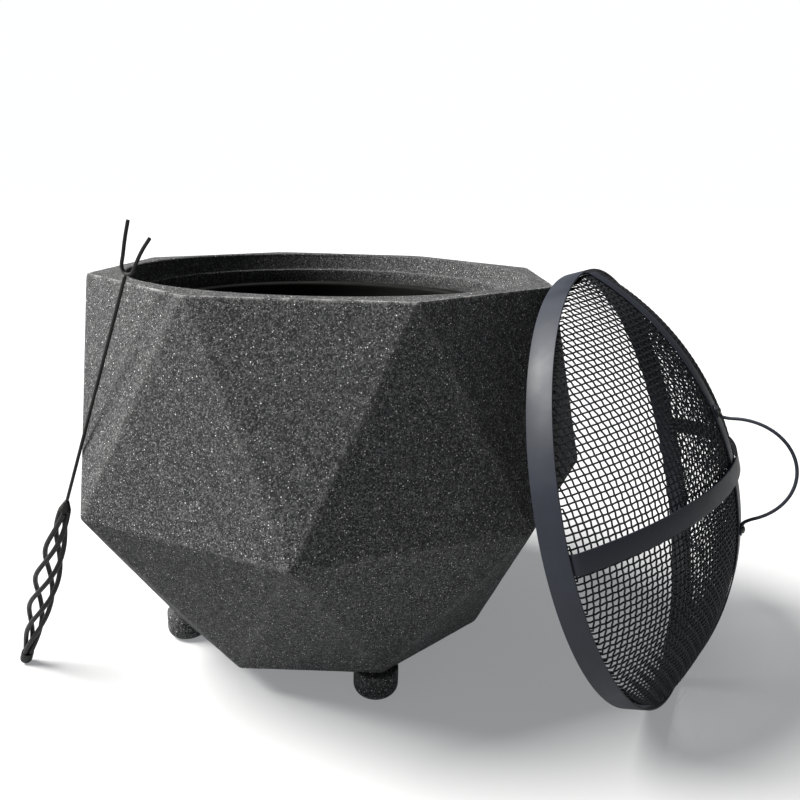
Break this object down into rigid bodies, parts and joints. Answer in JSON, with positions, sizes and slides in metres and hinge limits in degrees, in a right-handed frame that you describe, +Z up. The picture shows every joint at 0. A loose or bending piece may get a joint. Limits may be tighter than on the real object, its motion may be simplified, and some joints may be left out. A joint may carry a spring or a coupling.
{
  "type": "fire pit with grate",
  "caption": "Faceted cement-like fire pit on short feet, with a drop-in steel bowl and log grate, a domed mesh spark screen leaning on its side, and a fork-tipped poker with a basket handle.",
  "frame": {"origin": "on the floor, under the middle of the whole group's bounding box", "axes": "+Z up; +X from the poker's side of the pot to the spark screen's side; -Y the side the group is shown from"},
  "size_m": [0.8028, 0.5994, 0.4886],
  "materials": {
    "stone": "matte",
    "bowl_steel": "matte",
    "grate_iron": "matte",
    "screen_paint": "satin",
    "mesh_wire": "satin",
    "poker_iron": "satin",
    "screw_steel": "satin"
  },
  "bodies": {
    "pot": {"foot_back": "stone", "foot_front": "stone", "foot_left": "stone", "foot_right": "stone", "pot_shell": "stone"},
    "fire_bowl": {"fire_bowl": "bowl_steel"},
    "log_grate": {"grate_bar_1": "grate_iron", "grate_bar_2": "grate_iron", "grate_bar_3": "grate_iron", "grate_bar_4": "grate_iron", "grate_bar_5": "grate_iron", "grate_bar_6": "grate_iron", "grate_bar_7": "grate_iron", "grate_bar_8": "grate_iron", "grate_bar_9": "grate_iron", "grate_cross_bar_left": "grate_iron", "grate_cross_bar_right": "grate_iron", "grate_leg_left_back": "grate_iron", "grate_leg_left_front": "grate_iron", "grate_leg_right_back": "grate_iron", "grate_leg_right_front": "grate_iron", "grate_ring": "grate_iron"},
    "spark_screen": {"screen_bolt_lower": "screw_steel", "screen_bolt_upper": "screw_steel", "screen_handle": "screen_paint", "screen_hoop": "screen_paint", "screen_mesh": "mesh_wire", "screen_nut_lower": "screw_steel", "screen_nut_upper": "screw_steel", "screen_strap_level": "screen_paint", "screen_strap_upright": "screen_paint"},
    "poker": {"poker_cage_bar_1": "poker_iron", "poker_cage_bar_2": "poker_iron", "poker_cage_bar_3": "poker_iron", "poker_cage_bar_4": "poker_iron", "poker_collar": "poker_iron", "poker_end_cap": "poker_iron", "poker_fork": "poker_iron", "poker_rod": "poker_iron"}
  },
  "joints": [
    {"name": "fire_bowl_lift", "type": "slide", "parent": "pot", "child": "fire_bowl", "axis": [0, 0, 1], "range_m": [0, 0.25]},
    {"name": "grate_lift", "type": "slide", "parent": "fire_bowl", "child": "log_grate", "axis": [0, 0, 1], "range_m": [0, 0.2]},
    {"name": "screen_lift", "type": "slide", "parent": "pot", "child": "spark_screen", "axis": [0, 0, 1], "range_m": [0, 0.3]},
    {"name": "poker_lift", "type": "slide", "parent": "pot", "child": "poker", "axis": [0, 0, 1], "range_m": [0, 0.3]}
  ]
}
